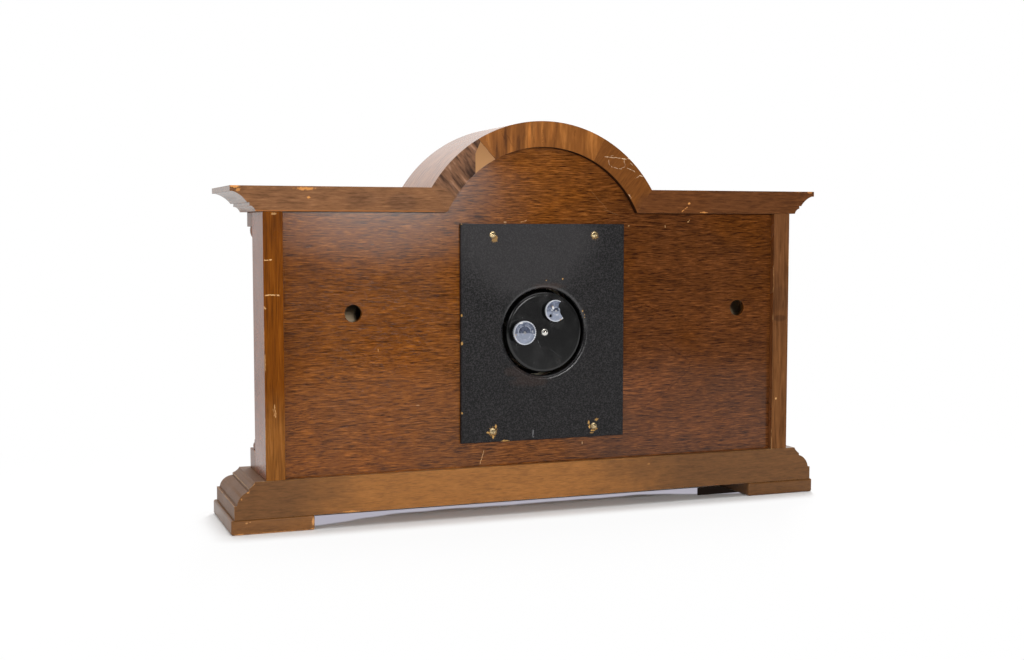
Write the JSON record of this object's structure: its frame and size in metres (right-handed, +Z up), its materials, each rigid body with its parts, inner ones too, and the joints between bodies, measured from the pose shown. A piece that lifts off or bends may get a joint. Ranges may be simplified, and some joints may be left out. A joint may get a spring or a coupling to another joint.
{
  "type": "mantel clock",
  "caption": "Free-standing mantel clock with an arched cornice, corner columns and a moulded plinth, a glazed dial in front and a mains movement set and started by rear knobs.",
  "frame": {"origin": "on the floor, under the middle of the clock's box", "axes": "+X to the right as seen from the dial's side, +Y to the back, +Z up; the dial faces -Y"},
  "size_m": [0.505, 0.099, 0.3151],
  "materials": {
    "plinth_wood": "golden brown stained and satin lacquered",
    "case_wood": "mahogany stained and satin lacquered",
    "cornice_wood": "walnut stained and satin lacquered",
    "back_ply": "stained plywood with horizontal grain",
    "front_veneer": "stained veneer, satin lacquered",
    "block_wood": "bare softwood",
    "black_hardboard": "leather-grained black hardboard",
    "black_enamel": "gloss black enamel",
    "brass": "lacquered brass",
    "nickel": "polished nickel plate",
    "steel": "turned steel",
    "iron": "soft iron sheet",
    "brown_plastic": "brown moulded plastic",
    "copper": "enamelled copper wire",
    "clear_plastic": "clear moulded plastic",
    "dial_enamel": "cream enamel",
    "hand_black": "black enamel",
    "glass": "clear convex glass"
  },
  "bodies": {
    "case": {"plinth": "plinth_wood", "foot_left": "plinth_wood", "foot_right": "plinth_wood", "side_left": "case_wood", "side_right": "case_wood", "column_base_left": "case_wood", "column_base_right": "case_wood", "column_shaft_left": "case_wood", "column_shaft_right": "case_wood", "column_capital_left": "case_wood", "column_capital_right": "case_wood", "cornice_left": "cornice_wood", "cornice_right": "cornice_wood", "arch_left": "cornice_wood", "arch_crown": "cornice_wood", "arch_right": "cornice_wood", "back_panel": "back_ply", "front_panel": "front_veneer", "glue_blocks": "block_wood", "rear_plate": "black_hardboard", "dust_cover": "black_enamel", "rear_plate_screws": "brass", "movement_back_plate": "brass", "movement_front_plate": "brass", "movement_pillars": "brass", "terminal_screws": "brass", "dial_feet": "brass", "bezel": "brass", "bezel_pins": "brass", "glass_ring": "brass", "cover_nut": "nickel", "cover_stud": "steel", "pillar_screws": "steel", "stator_cup": "iron", "coil_bobbin": "brown_plastic", "terminal_block": "brown_plastic", "coil_winding": "copper", "dial": "dial_enamel", "glass": "glass"},
    "rotor_set": {"rotor": "steel", "rotor_arbor": "steel", "start_knob": "clear_plastic"},
    "first_wheel_set": {"first_wheel": "brass", "first_arbor": "steel"},
    "second_wheel_set": {"second_wheel": "brass", "second_arbor": "steel"},
    "third_wheel_set": {"third_wheel": "brass", "third_arbor": "steel"},
    "centre_wheel_set": {"centre_wheel": "brass"},
    "minute_set": {"clutch_spring": "steel", "centre_arbor": "steel", "cannon_pinion": "brass", "minute_hand": "hand_black", "hand_nut": "brass"},
    "setting_set": {"minute_wheel": "brass", "setting_arbor": "steel", "setting_knob": "clear_plastic"},
    "hour_set": {"hour_wheel": "brass", "hour_hand": "hand_black"}
  },
  "joints": [
    {"name": "minute_turn", "type": "hinge", "parent": "case", "child": "minute_set", "pos_m": [0, 0, 0.1465], "axis": [0, 1, 0], "continuous": true},
    {"name": "setting_turn", "type": "hinge", "parent": "case", "child": "setting_set", "pos_m": [0.0205, 0, 0.1471], "axis": [0, 1, 0], "continuous": true},
    {"name": "hour_turn", "type": "hinge", "parent": "case", "child": "hour_set", "pos_m": [0, 0, 0.1465], "axis": [0, 1, 0], "continuous": true},
    {"name": "rotor_turn", "type": "hinge", "parent": "case", "child": "rotor_set", "pos_m": [-0.0075, 0, 0.1639], "axis": [0, 1, 0], "continuous": true},
    {"name": "first_turn", "type": "hinge", "parent": "case", "child": "first_wheel_set", "pos_m": [-0.01326, 0, 0.15351], "axis": [0, 1, 0], "continuous": true},
    {"name": "second_turn", "type": "hinge", "parent": "case", "child": "second_wheel_set", "pos_m": [-0.0142, 0, 0.14167], "axis": [0, 1, 0], "continuous": true},
    {"name": "third_turn", "type": "hinge", "parent": "case", "child": "third_wheel_set", "pos_m": [-0.0055, 0, 0.13358], "axis": [0, 1, 0], "continuous": true},
    {"name": "centre_wheel_turn", "type": "hinge", "parent": "case", "child": "centre_wheel_set", "pos_m": [0, 0, 0.1465], "axis": [0, 1, 0], "continuous": true}
  ],
  "couplings": [
    {"joint": "setting_turn", "follows": "minute_turn", "ratio": -0.33333},
    {"joint": "hour_turn", "follows": "minute_turn", "ratio": 0.083333},
    {"joint": "first_turn", "follows": "rotor_turn", "ratio": -0.1},
    {"joint": "second_turn", "follows": "rotor_turn", "ratio": 0.01},
    {"joint": "third_turn", "follows": "rotor_turn", "ratio": -0.001},
    {"joint": "centre_wheel_turn", "follows": "rotor_turn", "ratio": 0.000083333}
  ]
}
